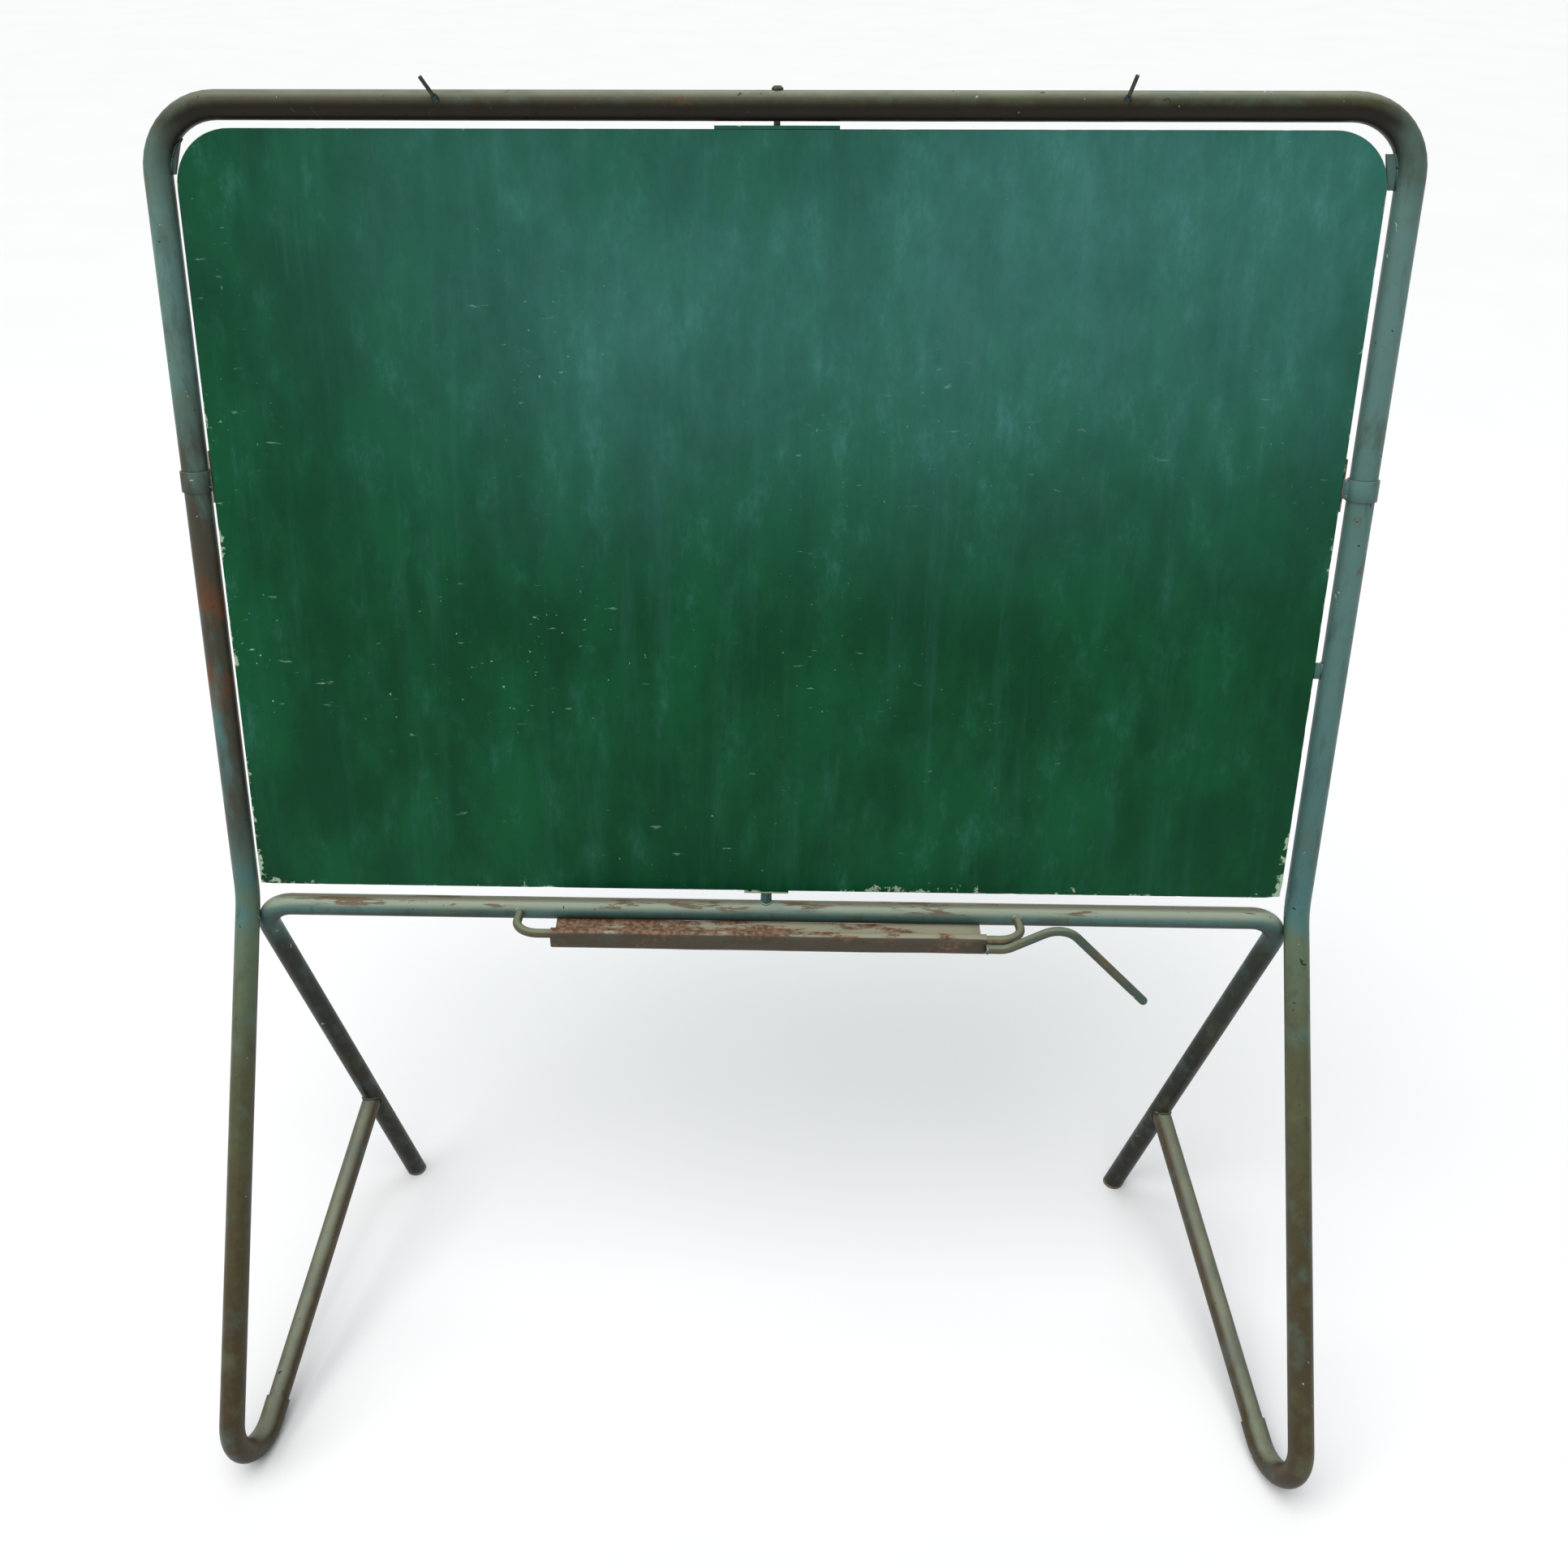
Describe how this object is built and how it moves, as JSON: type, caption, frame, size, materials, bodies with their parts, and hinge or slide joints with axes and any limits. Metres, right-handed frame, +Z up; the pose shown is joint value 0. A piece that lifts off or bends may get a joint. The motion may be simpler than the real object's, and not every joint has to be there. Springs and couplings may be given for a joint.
{
  "type": "kids easel",
  "caption": "Children's tubular steel easel: a green two-faced blackboard turns on centre pivots in a leaning bent-tube stand with a folded chalk tray and a bent rod hanger.",
  "frame": {"origin": "on the floor, in the middle of the stand's footprint box", "axes": "+X to the right of a child facing the board, +Y to the back, +Z up"},
  "size_m": [0.9832, 0.4335, 1.1302],
  "materials": {
    "stand_paint": "worn satin enamel",
    "tray_paint": "worn enamel with rust",
    "board_paint": "matt chalkboard paint on board",
    "plate_steel": "worn",
    "fastener_steel": "dull",
    "wire_steel": "dark",
    "cap_rubber": "matt"
  },
  "bodies": {
    "stand": {"front_frame": "stand_paint", "rear_frame": "stand_paint", "left_brace": "stand_paint", "right_brace": "stand_paint", "left_rear_cap": "cap_rubber", "right_rear_cap": "cap_rubber", "top_pivot_bolt": "fastener_steel", "bottom_pivot_pin": "fastener_steel", "bottom_pivot_boss": "stand_paint", "left_collar": "stand_paint", "right_collar": "stand_paint", "left_collar_rivet": "fastener_steel", "right_collar_rivet": "fastener_steel", "left_upper_lug": "stand_paint", "right_upper_lug": "stand_paint", "right_lower_lug": "stand_paint", "left_map_peg": "wire_steel", "right_map_peg": "wire_steel", "tray_rod": "stand_paint", "chalk_tray": "tray_paint", "duster_hanger": "stand_paint"},
    "board": {"board_panel": "board_paint", "top_pivot_plate": "plate_steel", "bottom_pivot_plate": "plate_steel", "left_strike_plate": "plate_steel", "right_strike_plate": "plate_steel", "edge_plate_screws": "fastener_steel"}
  },
  "joints": [
    {"name": "board_turn", "type": "hinge", "parent": "stand", "child": "board", "pos_m": [-0.0015, 0.07685, 0.442], "axis": [0, 0.1908, 0.9816], "continuous": true}
  ]
}
